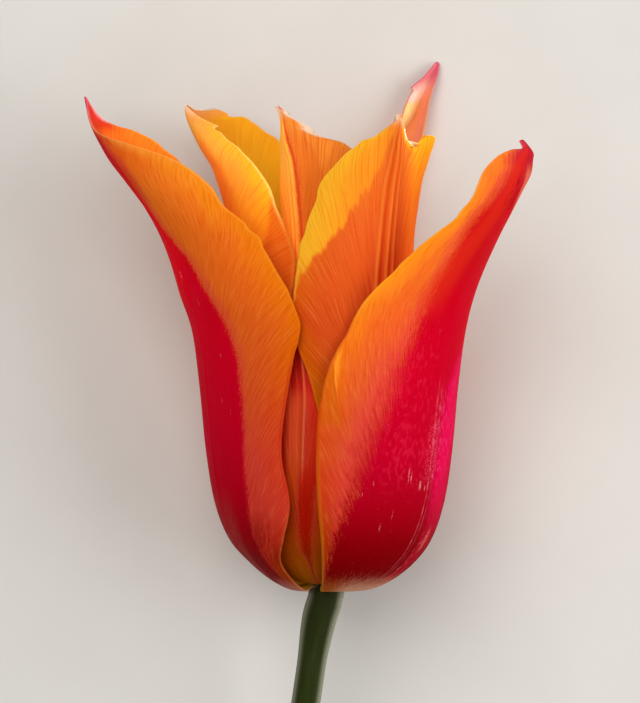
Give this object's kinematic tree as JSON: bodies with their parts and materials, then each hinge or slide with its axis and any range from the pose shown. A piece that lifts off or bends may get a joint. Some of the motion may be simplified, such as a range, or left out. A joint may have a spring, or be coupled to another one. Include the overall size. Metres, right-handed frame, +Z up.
{
  "type": "cut tulip flower",
  "caption": "Cut tulip with long pointed petals that flare outwards, lying on its back petal and the end of its bare stem.",
  "frame": {"origin": "on the surface it lies on, under the middle of the whole flower with its stem", "axes": "+Y along the flower from the cut end of the stem to the petals' tips, +Z up from the surface towards the side that the picture shows, +X to the picture's right"},
  "size_m": [0.071, 0.2544, 0.0416],
  "materials": {
    "outer_petal": "satin petal, crimson flame on orange; fabric stands in for plant tissue",
    "inner_petal": "satin petal, yellow-orange with fine veins; fabric stands in for plant tissue",
    "stem": "smooth dull green with a pale bloom; fabric stands in for plant tissue",
    "pistil": "matt pale green; fabric stands in for plant tissue"
  },
  "bodies": {
    "root": {"petal_outer_left": "outer_petal", "petal_outer_right": "outer_petal", "petal_outer_back": "outer_petal", "petal_inner_left": "inner_petal", "petal_inner_right": "inner_petal", "petal_inner_front": "inner_petal", "stem_and_stamens": "stem", "pistil": "pistil"}
  },
  "joints": []
}
